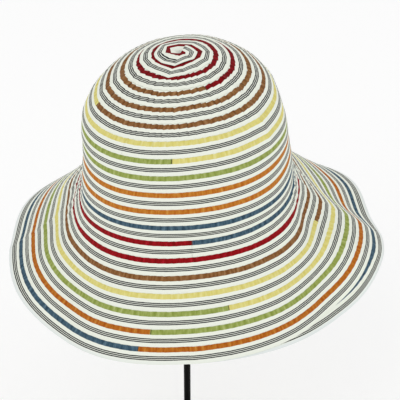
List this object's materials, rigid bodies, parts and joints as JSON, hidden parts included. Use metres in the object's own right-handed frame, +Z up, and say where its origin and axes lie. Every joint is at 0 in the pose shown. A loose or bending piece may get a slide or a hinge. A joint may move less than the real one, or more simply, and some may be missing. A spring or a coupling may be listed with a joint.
{
  "type": "wide brim sun hat on a plain display stand",
  "caption": "Soft domed sun hat of striped ribbon sewn in a spiral, with a wide wavy sloping brim, on a plain black rod stand.",
  "frame": {"origin": "middle of the stand base's underside, on the rod's axis", "axes": "+Z up along the stand rod, the hat's front faces -Y, its right side +X"},
  "size_m": [0.3417, 0.3315, 0.5153],
  "materials": {
    "tip_ribbon": "woven ribbon, off-white with coloured stripes and thin dark lines, matte",
    "side_ribbon": "woven ribbon, off-white with coloured stripes and thin dark lines, matte",
    "brim_ribbon": "woven ribbon, off-white with coloured stripes and thin dark lines, matte",
    "stand_cap": "plain black, smooth",
    "stand_metal": "satin black paint"
  },
  "bodies": {
    "root": {"crown_tip": "tip_ribbon", "crown_side": "side_ribbon", "brim": "brim_ribbon", "stand_top": "stand_cap", "stand_rod": "stand_metal", "stand_base": "stand_metal"}
  },
  "joints": []
}
